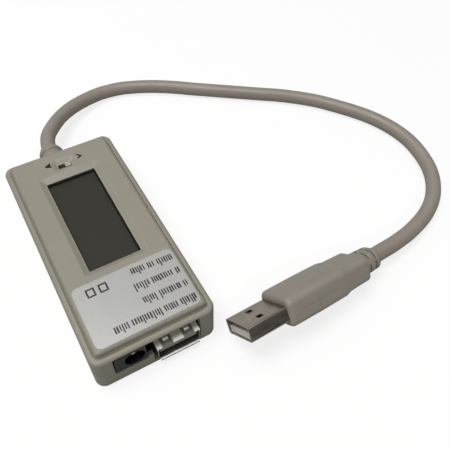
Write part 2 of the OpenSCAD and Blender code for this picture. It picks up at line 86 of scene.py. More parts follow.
# ---------------------------------------------------------------- materials
def material(name, base, rough=0.5, metallic=0.0, var=0.05, var_scale=70, fine=0.03, fine_scale=1400,
             bump=0.25, bump_mm=0.02, bump_scale=3000, spec=0.5, ior=1.5, coat=0.0, rough_var=0.07,
             stretch=(1, 1, 1), shade_and_dirt=0.0, shade_and_dirt_mm=1.5, tint=(0.32, 0.28, 0.22), sss=0.0, wear_and_sheen=0.0,
             wear_and_sheen_mm=0.35, lines=0.0, line_scale=600, low=None, alpha=1.0):
    """A procedural material: broad and fine colour variation, painted shade and soiling in hollows, edges
    lightened as abrasion and as painted highlight, bumps and lines.

    Lengths that end in _mm are in mm. low paints shade on the part below a height and leaves a painted
    highlight line along the lip at full colour: (height in mm, colour factor, roughness factor, y in mm of the
    highlight line along the lip).
    """
    m = bpy.data.materials.new(name)
    m.use_nodes = True
    n, link = m.node_tree.nodes, m.node_tree.links
    b = n["Principled BSDF"]
    b.inputs["Metallic"].default_value = metallic
    b.inputs["IOR"].default_value = ior
    b.inputs["Specular IOR Level"].default_value = spec
    b.inputs["Coat Weight"].default_value = coat
    b.inputs["Coat Roughness"].default_value = 0.2
    b.inputs["Alpha"].default_value = alpha
    if sss:
        b.inputs["Subsurface Weight"].default_value = sss
        b.inputs["Subsurface Radius"].default_value = (0.6, 0.5, 0.4)
        b.inputs["Subsurface Scale"].default_value = 0.001
    coord = n.new("ShaderNodeTexCoord")
    place = n.new("ShaderNodeMapping")
    place.inputs["Scale"].default_value = stretch
    link.new(coord.outputs["Object"], place.inputs["Vector"])

    def noise(scale, detail=3.0):
        t = n.new("ShaderNodeTexNoise")
        t.inputs["Scale"].default_value = scale
        t.inputs["Detail"].default_value = detail
        link.new(place.outputs["Vector"], t.inputs["Vector"])
        return t.outputs["Fac"]

    def spread(value, low, high):
        r = n.new("ShaderNodeMapRange")
        r.inputs["From Min"].default_value, r.inputs["From Max"].default_value = 0.3, 0.7
        r.inputs["To Min"].default_value, r.inputs["To Max"].default_value = low, high
        link.new(value, r.inputs["Value"])
        return r.outputs["Result"]

    def times(colour, factor):
        v = n.new("ShaderNodeVectorMath")
        v.operation = "SCALE"
        link.new(colour, v.inputs[0])
        link.new(factor, v.inputs["Scale"])
        return v.outputs["Vector"]

    broad = noise(var_scale)
    mix = n.new("ShaderNodeMix")
    mix.data_type = "RGBA"
    mix.inputs["A"].default_value = (*[c * (1 - var) for c in base], 1)
    mix.inputs["B"].default_value = (*[min(1, c * (1 + var)) for c in (base[0], base[1], base[2] * 0.985)], 1)
    link.new(spread(broad, 0, 1), mix.inputs["Factor"])
    colour = times(mix.outputs["Result"], spread(noise(fine_scale, 2), 1 - fine, 1 + fine))
    if shade_and_dirt:
        # painted shade in hollows, also standing for soiling there: darker where ambient occlusion finds nearby
        # surfaces
        ao = n.new("ShaderNodeAmbientOcclusion")
        ao.inputs["Distance"].default_value = shade_and_dirt_mm * MM
        ao.samples = 8
        ramp = n.new("ShaderNodeMapRange")
        ramp.inputs["From Min"].default_value, ramp.inputs["From Max"].default_value = 0.35, 0.85
        ramp.inputs["To Min"].default_value, ramp.inputs["To Max"].default_value = shade_and_dirt, 0
        link.new(ao.outputs["AO"], ramp.inputs["Value"])
        shade_and_dirt_mix = n.new("ShaderNodeMix")
        shade_and_dirt_mix.data_type = "RGBA"
        shade_and_dirt_mix.inputs["B"].default_value = (*[c * t for c, t in zip(base, tint)], 1)
        link.new(ramp.outputs["Result"], shade_and_dirt_mix.inputs["Factor"])
        link.new(colour, shade_and_dirt_mix.inputs["A"])
        colour = shade_and_dirt_mix.outputs["Result"]
    roughness = spread(noise(var_scale * 4, 4), max(0.02, rough - rough_var), min(1, rough + rough_var))
    # painted shade below a height, and a painted highlight line along the lip
    if low:
        shade_below_mm, shade_factor, rough_factor, lip_highlight_y = low
        axes, step = n.new("ShaderNodeSeparateXYZ"), n.new("ShaderNodeMapRange")
        link.new(coord.outputs["Object"], axes.inputs[0])
        step.inputs["From Min"].default_value = shade_below_mm * MM
        step.inputs["From Max"].default_value = (shade_below_mm + 0.6) * MM
        link.new(axes.outputs["Z"], step.inputs["Value"])
        lip, most = n.new("ShaderNodeMath"), n.new("ShaderNodeMath")
        lip.operation, most.operation = "COMPARE", "MAXIMUM"
        lip.inputs[1].default_value, lip.inputs[2].default_value = lip_highlight_y * MM, 0.19 * MM
        link.new(axes.outputs["Y"], lip.inputs[0])
        link.new(lip.outputs[0], most.inputs[0])
        link.new(step.outputs["Result"], most.inputs[1])

        def fade(factor):
            f = n.new("ShaderNodeMapRange")
            f.inputs["To Min"].default_value, f.inputs["To Max"].default_value = factor, 1
            link.new(most.outputs[0], f.inputs["Value"])
            return f.outputs["Result"]

        colour = times(colour, fade(shade_factor))
        product = n.new("ShaderNodeMath")
        product.operation = "MULTIPLY"
        link.new(roughness, product.inputs[0])
        link.new(fade(rough_factor), product.inputs[1])
        roughness = product.outputs["Value"]
    if wear_and_sheen:
        # edges lightened, as abrasion and as painted highlight: where the rounded normal leaves the true one
        soft = n.new("ShaderNodeBevel")
        soft.samples = 6
        soft.inputs["Radius"].default_value = wear_and_sheen_mm * MM
        geo = n.new("ShaderNodeNewGeometry")
        dot = n.new("ShaderNodeVectorMath")
        dot.operation = "DOT_PRODUCT"
        link.new(soft.outputs["Normal"], dot.inputs[0])
        link.new(geo.outputs["Normal"], dot.inputs[1])
        edge = n.new("ShaderNodeMapRange")
        edge.inputs["From Min"].default_value, edge.inputs["From Max"].default_value = 0.75, 0.99
        edge.inputs["To Min"].default_value, edge.inputs["To Max"].default_value = wear_and_sheen, 0
        link.new(dot.outputs["Value"], edge.inputs["Value"])
        patchy = n.new("ShaderNodeMath")
        patchy.operation = "MULTIPLY"
        link.new(edge.outputs["Result"], patchy.inputs[0])
        link.new(spread(noise(400, 4), 0.3, 1.2), patchy.inputs[1])
        edge_lightening = n.new("ShaderNodeMix")
        edge_lightening.data_type = "RGBA"
        edge_lightening.inputs["B"].default_value = (*[min(1, c * 1.5) for c in base], 1)
        link.new(patchy.outputs["Value"], edge_lightening.inputs["Factor"])
        link.new(colour, edge_lightening.inputs["A"])
        colour = edge_lightening.outputs["Result"]
    link.new(colour, b.inputs["Base Color"])
    link.new(roughness, b.inputs["Roughness"])
    height = noise(bump_scale, 3)
    if lines:
        # faint drawn or moulded lines
        wave = n.new("ShaderNodeTexWave")
        wave.inputs["Scale"].default_value = line_scale
        wave.inputs["Distortion"].default_value = 1.5
        wave.inputs["Detail"].default_value = 2
        link.new(place.outputs["Vector"], wave.inputs["Vector"])
        add = n.new("ShaderNodeMath")
        add.operation = "MULTIPLY_ADD"
        add.inputs[1].default_value = lines
        link.new(wave.outputs["Fac"], add.inputs[0])
        link.new(height, add.inputs[2])
        height = add.outputs["Value"]
    bumps = n.new("ShaderNodeBump")
    bumps.inputs["Strength"].default_value = bump
    bumps.inputs["Distance"].default_value = bump_mm * MM
    link.new(height, bumps.inputs["Height"])
    link.new(bumps.outputs["Normal"], b.inputs["Normal"])
    return m


case_mat = material("case_plastic", (0.255, 0.236, 0.190), rough=0.52, var=0.035, var_scale=45, fine=0.02,
                    bump=0.5, bump_mm=0.02, bump_scale=2200, shade_and_dirt=0.35, shade_and_dirt_mm=1.2, sss=0.05)
cover_mat = material("cover_plastic", (0.262, 0.242, 0.198), rough=0.50, var=0.035, var_scale=40, fine=0.02,
                     bump=0.5, bump_mm=0.02, bump_scale=2200, shade_and_dirt=0.3, shade_and_dirt_mm=1.0, sss=0.05)
cord_mat = material("cord_vinyl", (0.268, 0.235, 0.202), rough=0.46, var=0.05, var_scale=55, fine=0.02,
                    bump=0.35, bump_mm=0.03, bump_scale=900, shade_and_dirt=0.2, shade_and_dirt_mm=1.0, sss=0.06)
grip_mat = material("grip_vinyl", (0.255, 0.230, 0.196), rough=0.44, var=0.04, var_scale=60, fine=0.02,
                    bump=0.4, bump_mm=0.02, bump_scale=1800, shade_and_dirt=0.35, shade_and_dirt_mm=1.0, sss=0.06)
label_mat = material("label_film", (0.402, 0.400, 0.388), rough=0.40, metallic=0.12, var=0.03, var_scale=35,
                     fine=0.04, fine_scale=5000, bump=0.12, bump_mm=0.01, bump_scale=6000, lines=0.25,
                     line_scale=900, stretch=(1, 0.15, 1))
ink_mat = material("print_ink", (0.022, 0.016, 0.018), rough=0.55, var=0.3, var_scale=900, fine=0.3,
                   fine_scale=4000)
mark_mat = material("mark_ink", (0.014, 0.011, 0.008), rough=0.7, spec=0.2, var=0.3, var_scale=1200, fine=0.3,
                    fine_scale=5000)
nickel = material("nickel_plate", (0.43, 0.375, 0.33), rough=0.30, metallic=1.0, var=0.06, var_scale=160,
                  fine=0.03, bump=0.15, bump_mm=0.005, bump_scale=2600, lines=0.25, line_scale=1500,
                  stretch=(0.25, 1, 1), rough_var=0.05, shade_and_dirt=0.5, shade_and_dirt_mm=0.5, tint=(0.3, 0.24, 0.2),
                  wear_and_sheen=0.12)
# socket shell: a lighter copy of nickel painted as lit, with painted shade inside below 7.4 mm, a painted
# highlight line along the lip and painted highlights on its edges
socket_nickel_painted_light = material("socket_nickel_painted_light", (0.98, 0.91, 0.86), rough=0.45, metallic=0.3,
                         low=(7.4, 0.10, 0.7, NEAR - 1.16), wear_and_sheen_mm=0.15, var=0.06, var_scale=260, fine=0.05,
                         bump=0.25, bump_mm=0.008, bump_scale=2600, lines=0.4, line_scale=1500,
                         stretch=(1, 0.25, 1), shade_and_dirt=0.15, shade_and_dirt_mm=0.3, tint=(0.3, 0.22, 0.18), wear_and_sheen=0.7)
tin = material("tin_plate", (0.55, 0.54, 0.52), rough=0.35, metallic=1.0, var=0.08, var_scale=400, bump=0.3,
               bump_mm=0.01, lines=0.3, line_scale=1800)
# a lighter copy of tin, painting a glint on the jack pin's tip
pin_glint_mat = material("pin_tin_painted_glint", (0.86, 0.85, 0.83), rough=0.3, metallic=0.5, var=0.05, var_scale=400,
                   bump=0.2, bump_mm=0.01)
steel = material("screw_zinc", (0.50, 0.50, 0.52), rough=0.33, metallic=1.0, var=0.1, var_scale=500, bump=0.3,
                 bump_mm=0.01, lines=0.4, line_scale=2500, shade_and_dirt=0.4, wear_and_sheen=0.3)
gold = material("contact_gold", (0.72, 0.52, 0.20), rough=0.28, metallic=1.0, var=0.07, var_scale=500, bump=0.2,
                bump_mm=0.006, lines=0.3, line_scale=2000, shade_and_dirt=0.3)
shunt_mat = material("shunt_wire", (0.42, 0.26, 0.14), rough=0.34, metallic=1.0, var=0.1, var_scale=500,
                     lines=0.3)
jack_mat = material("jack_plastic", (0.006, 0.006, 0.0065), rough=0.42, var=0.2, var_scale=200, bump=0.3,
                    bump_mm=0.01, bump_scale=3000, spec=0.25, wear_and_sheen=0.2)
black_mat = material("black_epoxy", (0.02, 0.02, 0.021), rough=0.5, var=0.2, var_scale=300, bump=0.4,
                     bump_mm=0.01)
white_mat = material("white_nylon", (0.62, 0.61, 0.56), rough=0.48, var=0.05, var_scale=200, fine=0.03,
                     bump=0.3, bump_mm=0.01, shade_and_dirt=0.3, shade_and_dirt_mm=0.8, tint=(0.4, 0.35, 0.3), sss=0.08)
tongue_mat = material("socket_plastic", (0.26, 0.245, 0.22), rough=0.5, var=0.05, var_scale=200, fine=0.03,
                      bump=0.3, bump_mm=0.01, shade_and_dirt=0.25, shade_and_dirt_mm=0.6, sss=0.05)
holder_mat = material("holder_abs", (0.55, 0.55, 0.52), rough=0.5, var=0.05, bump=0.3, bump_mm=0.01)
board_mat = material("circuit_laminate", (0.008, 0.020, 0.012), rough=0.30, var=0.15, var_scale=180, fine=0.06,
                     bump=0.4, bump_mm=0.02, bump_scale=700, coat=0.3, lines=0.5, line_scale=350)
knob_mat = material("knob_ivory", (0.42, 0.395, 0.29), rough=0.38, var=0.05, var_scale=300, bump=0.3,
                    bump_mm=0.01, shade_and_dirt=0.35, shade_and_dirt_mm=0.6, sss=0.1, wear_and_sheen=0.25)
brown_mat = material("brown_laminate", (0.105, 0.060, 0.032), rough=0.6, var=0.2, var_scale=500, bump=0.5,
                     bump_mm=0.02, lines=0.6, line_scale=900)
lcd_mat = material("lcd_cell", (0.052, 0.050, 0.036), rough=0.42, rough_var=0.005, var=0.06, var_scale=14,
                   fine=0.004, bump=0.0, spec=0.25)
lens_mat = material("lens_acrylic", (0.02, 0.02, 0.019), rough=0.1, rough_var=0.005, var=0.02, fine=0.004,
                    bump=0.0, alpha=0.15, ior=1.45)
# painted shade on the window's inner walls, the far wall's lighter
far_wall_shade_mat = material("window_far_wall_shade", (0.12, 0.108, 0.092), rough=0.5, var=0.2, var_scale=300, bump=0.2,
                        bump_mm=0.01)
wall_shade_mat = material("window_wall_shade", (0.012, 0.010, 0.009), rough=0.6, var=0.2, var_scale=300, bump=0.2,
                    bump_mm=0.01)
glass_mat = material("cell_glass", (0.10, 0.11, 0.09), rough=0.12, var=0.05, bump=0.03, bump_mm=0.002)
silver_mat = material("reflector_film", (0.45, 0.46, 0.44), rough=0.4, metallic=0.7, var=0.05, bump=0.1)
zebra_mat = material("zebra_rubber", (0.45, 0.22, 0.24), rough=0.7, var=0.1, lines=1.0, line_scale=2500)
ceramic_mat = material("capacitor_ceramic", (0.36, 0.26, 0.14), rough=0.5, var=0.1, var_scale=600)
sleeve_mat = material("capacitor_sleeve", (0.03, 0.04, 0.10), rough=0.3, var=0.1, var_scale=300)
fuse_mat = material("fuse_laminate", (0.05, 0.16, 0.06), rough=0.5, var=0.15, var_scale=400)
trim_mat = material("trimmer_blue", (0.03, 0.08, 0.30), rough=0.35, var=0.1, var_scale=300)


def paint_edge_shadow(mat, start, end):
    """A painted shadow band on a material, from x = start mm on, full at x = end mm."""
    n, link = mat.node_tree.nodes, mat.node_tree.links
    base = n["Principled BSDF"].inputs["Base Color"]
    spot, axes, shadow_ramp = (n.new("ShaderNode" + k) for k in ("TexCoord", "SeparateXYZ", "MapRange"))
    shadow_ramp.inputs["From Min"].default_value, shadow_ramp.inputs["From Max"].default_value = start * MM, end * MM
    shade = n.new("ShaderNodeMix")
    shade.data_type = "RGBA"
    shade.inputs["B"].default_value = (0.006, 0.005, 0.005, 1)
    link.new(spot.outputs["Object"], axes.inputs[0])
    link.new(axes.outputs["X"], shadow_ramp.inputs["Value"])
    link.new(shadow_ramp.outputs["Result"], shade.inputs["Factor"])
    link.new(base.links[0].from_socket, shade.inputs["A"])
    link.new(shade.outputs["Result"], base)


# painted shadow along the right edge of the LCD
paint_edge_shadow(lcd_mat, 7.45, 7.6)

WIRES = {"wire_red": (0.35, 0.015, 0.012), "wire_white": (0.6, 0.6, 0.56), "wire_green": (0.02, 0.17, 0.05),
         "wire_black": (0.012, 0.012, 0.012)}

# CAD pieces that are shown as they are: material, and the width in mm of their rounded edges
CARRIED = {
    "case_screws": (steel, 0.08), "window_lens": (lens_mat, 0.05), "lcd_polarizer": (lcd_mat, 0.02),
    "lcd_glass": (glass_mat, 0.05), "lcd_reflector": (silver_mat, 0.02), "lcd_holder": (holder_mat, 0.1),
    "zebra_strips": (zebra_mat, 0.05), "meter_board": (board_mat, 0.08), "meter_chip": (black_mat, 0.1),
    "chip_pins": (tin, 0.03), "meter_resistors": (black_mat, 0.05), "meter_capacitors": (ceramic_mat, 0.06),
    "header_strip": (black_mat, 0.1), "header_pins": (gold, 0.05), "main_board": (board_mat, 0.08),
    "shunt": (shunt_mat, 0), "power_capacitor": (sleeve_mat, 0.12), "fuse": (fuse_mat, 0.08),
    "regulator": (black_mat, 0.08), "trimmer": (trim_mat, 0.1), "trimmer_rotor": (gold, 0.05),
    "switch_frame": (tin, 0.06), "switch_base": (brown_mat, 0.05), "switch_terminals": (tin, 0.04),
    "switch_knob": (knob_mat, 0.12), "switch_shutter": (brown_mat, 0.03), "switch_contact": (gold, 0.03),
    "usb_shell": (socket_nickel_painted_light, 0.09), "usb_tongue": (tongue_mat, 0.12), "usb_contacts": (gold, 0.04),
    "jack_body": (jack_mat, 0.15), "jack_spring": (tin, 0.04), "jack_terminals": (tin, 0.05),
    "plug_shell": (nickel, 0.07), "plug_insulator": (white_mat, 0.12), "plug_contacts": (gold, 0.04),
}
for node, colour in WIRES.items():
    CARRIED[node] = (material(node, colour, rough=0.4, var=0.08, var_scale=300, bump=0.2, bump_mm=0.01), 0)
for node, (mat, edge) in CARRIED.items():
    o = NODES[node]
    o.data.materials.clear()
    o.data.materials.append(mat)
    weld = o.modifiers.new("weld", "WELD")
    weld.merge_threshold = 0.000002
    if edge:
        bevel = o.modifiers.new("edges", "BEVEL")
        bevel.width = edge * MM
        bevel.segments = 3
        bevel.limit_method = "ANGLE"
        bevel.angle_limit = math.radians(40)
        bevel.harden_normals = False


# ---------------------------------------------------------------- mesh helpers
def put(name, verts, faces, mat, sharp=32):
    me = bpy.data.meshes.new(name)
    me.from_pydata([tuple(c * MM for c in v) for v in verts], [], faces)
    me.validate()
    me.update()
    o = bpy.data.objects.new(name, me)
    scene.collection.objects.link(o)
    if mat:
        me.materials.append(mat)
    finish_shade(o, sharp)
    return o


def finish_shade(o, sharp=32):
    o.data.shade_smooth()
    o.data.set_sharp_from_angle(angle=math.radians(sharp))


def even(o):
    """Large flat faces keep flat shading next to small rounded ones."""
    m = o.modifiers.new("even", "WEIGHTED_NORMAL")
    m.mode, m.weight, m.keep_sharp = "FACE_AREA", 100, True


def four(r):
    """Four corner radii, from one or from four."""
    return r if isinstance(r, tuple) else (r,) * 4


def rounded(w, l, radius, n=8):
    """Rounded rectangle, counter-clockwise, in its own plane; radius is one or four, from far right."""
    pts = []
    for k, (sx, sy) in enumerate(((1, 1), (-1, 1), (-1, -1), (1, -1))):
        r = max(0.02, min(four(radius)[k], w / 2 - 0.01, l / 2 - 0.01))
        for i in range(n + 1):
            a = math.radians(90 * k + 90 * i / n)
            pts.append((sx * (w / 2 - r) + r * math.cos(a), sy * (l / 2 - r) + r * math.sin(a)))
    return pts


def loft(rings):
    """Verts and faces of rings of equal count, capped at both ends."""
    count = len(rings[0])
    verts = [tuple(p) for ring in rings for p in ring]
    faces = [tuple(reversed(range(count)))]
    for i in range(len(rings) - 1):
        for j in range(count):
            a, b = i * count + j, i * count + (j + 1) % count
            faces.append((a, b, b + count, a + count))
    faces.append(tuple(range((len(rings) - 1) * count, len(rings) * count)))
    return verts, faces


def stack(name, cx, cy, w, l, r, steps, mat=None, n=8):
    """Rounded-rectangle rings stacked along Z: each step is (inset, z) and, where it differs, the radius."""
    rings = []
    for inset, z, *own in steps:
        corner = own[0] if own else tuple(max(0.05, c - inset) for c in four(r))
        rings.append([(cx + x, cy + y, z) for x, y in rounded(w - 2 * inset, l - 2 * inset, corner, n)])
    return put(name, *loft(rings), mat)


def fresh(o):
    """Apply the modifiers."""
    dg = bpy.context.evaluated_depsgraph_get()
    me = bpy.data.meshes.new_from_object(o.evaluated_get(dg))
    o.modifiers.clear()
    o.data = me


def combine(o, others, how="DIFFERENCE"):
    """Boolean of a piece with others, which are used up."""
    for c in others:
        m = o.modifiers.new("cut", "BOOLEAN")
        m.operation, m.solver, m.object = how, "EXACT", c
        bpy.context.view_layer.update()
        fresh(o)
        bpy.data.objects.remove(c)


def quarter(r):
    """(inset, rise) along a quarter circle in eight steps, inset growing with the rise."""
    turns = [math.radians(90 * i / 8) for i in range(9)]
    return [(r * (1 - math.cos(a)), r * math.sin(a)) for a in turns]


def level(x0, x1, y0, y1, z, r):
    """A level rounded rectangle between x0, x1, y0 and y1."""
    return [((x0 + x1) / 2 + x, (y0 + y1) / 2 + y, z) for x, y in rounded(x1 - x0, y1 - y0, r)]


def circle(x, y, z, r, n=48):
    return [(x + r * math.cos(2 * math.pi * i / n), y + r * math.sin(2 * math.pi * i / n), z) for i in range(n)]


def lathe(name, points, axis_x, axis_z, mat, n=72):
    """Revolve (radius, y) points about a line along Y."""
    rings = [[(axis_x + r * math.cos(2 * math.pi * i / n), y, axis_z - r * math.sin(2 * math.pi * i / n))
              for i in range(n)] for r, y in points]
    return put(name, *loft(rings), mat, 28)


def cylinder(cx, cy, z0, z1, r, n=48):
    return put("cutter", *loft([circle(cx, cy, z, r, n) for z in (z0, z1)]), None)


def repaint(o, *mats, sharp=32):
    """Materials and shading of a piece that booleans have changed."""
    o.data.materials.clear()
    for mat in mats:
        o.data.materials.append(mat)
    finish_shade(o, sharp)


def keep(o, slot, *nodes, body="meter"):
    """A finished piece: the body it rides on, the CAD nodes it stands for and its slot, which is not used."""
    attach(o, body)
    if nodes:
        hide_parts(*nodes)


# ---------------------------------------------------------------- cable
# middle of the cable in mm, with y from the middle of the case
ROUTE = [(-1.3, 43, 8), (-1.2, 48, 8), (0.4, 54.2, 7.8), (3.5, 59.1, 7.1),
         (8.8, 65.2, 5.8), (16, 70.4, 4.4), (25.4, 73.9, 3.2), (32.2, 74.4, 2.7), (38.5, 73.2, 2.6),
         (47, 69.6, 2.6), (55, 64.8, 2.6), (63, 59, 2.6), (70.5, 53.7, 2.6), (77.6, 48.7, 2.6),
         (84.3, 44, 2.6), (91.2, 39.2, 2.6), (98, 33.6, 2.6), (104, 27.6, 2.6), (111.2, 18.2, 2.6),
         (116, 10.4, 2.6), (119.2, 2, 2.6), (120.4, -7, 2.6), (119, -16.6, 2.6), (115.6, -24.8, 2.6),
         (109.6, -32, 2.6), (101.6, -37.2, 2.8), (92, -40.6, 3.4), (83.4, -42.4, 4.3), (77.8, -43.1, 5),
         (73, -43.6, 5.5), (68.5, -43.9, 6)]
CABLE_D = 5.2


def smooth_route(points):
    """Catmull-Rom curve through the points, eight steps to each stretch."""
    p = [Vector(q) for q in points]
    p = [2 * p[0] - p[1], *p, 2 * p[-1] - p[-2]]
    out = []
    for i in range(1, len(p) - 2):
        a, b, c, d = p[i - 1:i + 3]
        for k in range(8):
            t = k / 8
            out.append(0.5 * (2 * b + (c - a) * t + (2 * a - 5 * b + 4 * c - d) * t * t
                              + (3 * b - a - 3 * c + d) * t ** 3))
    out.append(p[-2])
    return out


line = [Vector((q.x, q.y + MID, q.z)) * MM for q in smooth_route(ROUTE)]
curve = bpy.data.curves.new("cable_jacket", "CURVE")
curve.dimensions = "3D"
curve.bevel_depth = CABLE_D / 2 * MM
curve.bevel_resolution = 8
curve.use_fill_caps = True
spline = curve.splines.new("POLY")
spline.points.add(len(line) - 1)
for q, v in zip(spline.points, line):
    q.co = (*v, 1)
spline.use_smooth = True
cable = bpy.data.objects.new("cable_jacket", curve)
scene.collection.objects.link(cable)
curve.materials.append(cord_mat)
keep(cable, "cord_plastic", "cable")

# ---------------------------------------------------------------- gland
GX, GZ = -1.3, 8.0                              # axis of the gland
gland_profile = [(2.7, FAR - 2.6), (4.5, FAR - 2.6), (4.5, FAR - 1.8), (3.1, FAR - 1.75), (3.1, FAR + 0.05)]
gland_profile += [(4.05, FAR + 0.05), (4.2, FAR + 0.12), (4.28, FAR + 0.3), (4.3, FAR + 0.6), (4.3, FAR + 2.9),
                  (4.26, FAR + 3.15), (4.14, FAR + 3.35), (3.98, FAR + 3.45), (3.8, FAR + 3.52),
                  (3.74, FAR + 3.68), (3.78, FAR + 3.86), (3.96, FAR + 3.98), (4.14, FAR + 4.08),
                  (4.24, FAR + 4.3), (4.2, FAR + 4.9), (4.08, FAR + 5.5), (3.85, FAR + 6.1), (3.5, FAR + 6.8),
                  (3.15, FAR + 7.5), (2.9, FAR + 8.0), (2.74, FAR + 8.3), (2.64, FAR + 8.4), (2.55, FAR + 8.2)]
gland = lathe("cable_gland_sleeve", gland_profile, GX, GZ, cord_mat)
keep(gland, "cord_plastic", "cable_gland")

# ---------------------------------------------------------------- jack pin
JACK_X, JACK_Z = -6.8, 8.7                      # axis of the jack
pin_profile = [(0.02, NEAR + 1.4), (0.35, NEAR + 1.43), (0.65, NEAR + 1.55), (0.88, NEAR + 1.8),
               (0.98, NEAR + 2.1), (1.0, NEAR + 2.4), (1.0, NEAR + 12.75), (0.02, NEAR + 12.8)]
keep(lathe("jack_centre_pin", pin_profile, JACK_X, JACK_Z, pin_glint_mat), "tinned_metal", "jack_pin")

# ---------------------------------------------------------------- plug
PLUG_AT = (20.9, MID - 47.6, 11.0)               # tip of the shell, in mm
PLUG_HEADING, PLUG_PITCH, PLUG_ROLL = 4.5, 6, -41  # degrees
PLUG = Matrix.Translation(Vector(PLUG_AT) * MM)
for angle, axis in ((PLUG_HEADING, "Z"), (PLUG_PITCH, "Y"), (PLUG_ROLL, "X")):
    PLUG = PLUG @ Matrix.Rotation(math.radians(angle), 4, axis)


def plug_loft(name, sections, mat):
    """Sections (a, width, height, corner radius) along the plug's own axis."""
    rings = [[(a, x, y) for x, y in rounded(w, h, r, 10)] for a, w, h, r in sections]
    o = put(name, *loft(rings), mat)
    o.data.transform(PLUG)
    return o


def smooth_step(a, b, t):
    """From a to b as t goes from 0 to 1, level at both ends."""
    t = t * t * (3 - 2 * t)
    return a + (b - a) * t


GW, GH = 14.4, 9.0                              # width and height of the grip
grip = [(13.6, 11.9, 4.4, 0.5), (13.15, 12.0, 4.5, 0.5)]
for e, d in quarter(1.4):
    grip.append((13.1 + e, GW - 2.8 + 2 * d, GH - 2.8 + 2 * d, 1.3 + 0.7 * d))
grip += [(18, GW + 0.1, GH + 0.05, 2.3), (24, GW + 0.15, GH + 0.1, 2.3), (30, GW + 0.05, GH, 2.3),
         (33.6, GW - 0.05, GH - 0.05, 2.3)]
for i in range(1, 11):
    wide, high = smooth_step(GW - 0.05, 13.2, i / 10), smooth_step(GH - 0.05, 8.25, i / 10)
    grip.append((33.6 + 0.32 * i, wide, high, 2.3))
grip += [(40, 13.0, 8.15, 2.3), (43.4, 12.8, 8.0, 2.2)]
for i in range(1, 9):
    a = math.radians(90 * i / 8)
    inset = 2.4 * (1 - math.cos(a))
    grip.append((43.6 + 1.2 * math.sin(a), 12.75 - inset, 7.97 - inset, 2.1))
grip_piece = plug_loft("plug_grip_moulding", grip, grip_mat)


def plug_box(a0, a1, y0, y1, z0, z1):
    """A box in the plug's own axes, as a cutter."""
    o = put("cutter", *loft([[(a, y0, z0), (a, y1, z0), (a, y1, z1), (a, y0, z1)] for a in (a0, a1)]), None)
    o.data.transform(PLUG)
    return o


# faint mould lines, cut a few hundredths of a millimetre deep
mould_lines = [(16.0, 32.5, -8, -GW / 2 - 0.005, -0.1, 0.1), (23.4, 23.6, -8, -GW / 2 - 0.005, -3, 3),
               (30.0, 30.2, -4.5, 0.5, GH / 2 - 0.04, 6)]
combine(grip_piece, [plug_box(*m) for m in mould_lines])
finish_shade(grip_piece)
keep(grip_piece, "cord_plastic", "plug_grip")

# ---------------------------------------------------------------- strain relief
relief = [(43.6, 9.0, 6.9, 3.0), (46.1, 9.3, 7.05, 3.1), (46.4, 9.1, 6.9, 3.05), (46.45, 7.9, 6.15, 2.8),
          (47.0, 7.9, 6.15, 2.8), (47.05, 9.0, 6.85, 3.0), (47.25, 9.2, 7.0, 3.1), (48.6, 9.15, 6.95, 3.1),
          (48.85, 8.95, 6.8, 3.0), (48.9, 7.8, 6.1, 2.7), (49.45, 7.8, 6.1, 2.7), (49.5, 8.8, 6.7, 3.0),
          (49.85, 9.0, 6.85, 3.1), (50.5, 8.95, 6.8, 3.1), (50.95, 8.7, 6.7, 3.1), (51.3, 8.1, 6.4, 3.0),
          (51.55, 7.3, 6.0, 2.9), (51.65, 6.2, 5.7, 2.8), (51.65, 5.3, 5.3, 2.6)]
relief_piece = plug_loft("plug_relief_neck", relief, grip_mat)
# bridges across the two slots: one over the top and bottom, one round the sides
for a0, low, high in ((46.3, 0.0, 1.7), (48.7, 0.3, 1.2)):
    for y0, y1, z0, z1 in ((-0.45, 0.45, -5, 5), (-6, 6, low, high)):
        bar = plug_loft("cutter", [(a0, 9.1, 6.9, 3.05), (a0 + 1, 9.1, 6.9, 3.05)], None)
        combine(bar, [plug_box(a0 - 1, a0 + 2, y0, y1, z0, z1)], "INTERSECT")
        combine(relief_piece, [bar], "UNION")
repaint(relief_piece, grip_mat)
keep(relief_piece, "cord_plastic", "plug_relief")

# ---------------------------------------------------------------- case tray
FLOOR, WALL, FOOT = 1.2, 1.7, 0.5               # thickness of floor and wall, radius of the bottom edge
turns = [math.radians(a) for a in range(0, 91, 15)]
steps = [(0.9, 0.0)] + [(FOOT - FOOT * math.sin(a), FOOT - FOOT * math.cos(a)) for a in turns]
steps += [(0.0, RIM - 4)] + [(e, RIM - 1.1 + z) for e, z in quarter(1.1)]
steps += [(1.45, RIM, 2.3), (1.6, RIM - 0.02, 2.25), (WALL - 0.02, RIM - 0.07, 2.2), (WALL, RIM - 0.16, 2.2),
          (WALL, FLOOR + 0.4, 2.2), (WALL + 0.1, FLOOR + 0.12, 2.1), (WALL + 0.4, FLOOR, 1.9)]
tray = stack("case_tray", 0, MID, CASE_W, CASE_L, 3.0, steps)
# screw posts
BOSSES = [(sx * 14.4, MID + y) for sx in (-1, 1) for y in (-23.5, 34)]
combine(tray, [cylinder(x, y, FLOOR - 0.4, 6.7, 2.5) for x, y in BOSSES], "UNION")


def face_cut(x0, x1, z0, z1, r):
    """Opening through the near wall, flared where it meets the face."""
    cx, cz, w, h = (x0 + x1) / 2, (z0 + z1) / 2, x1 - x0, z1 - z0
    rings = []
    for depth, e in ((-1, 0.3), (0, 0.2), (0.08, 0.09), (0.2, 0.02), (0.35, 0), (2.6, 0)):
        rings.append([(cx + x, NEAR + depth, cz - z) for x, z in rounded(w + 2 * e, h + 2 * e, r + e)])
    return put("cutter", *loft(rings), None)


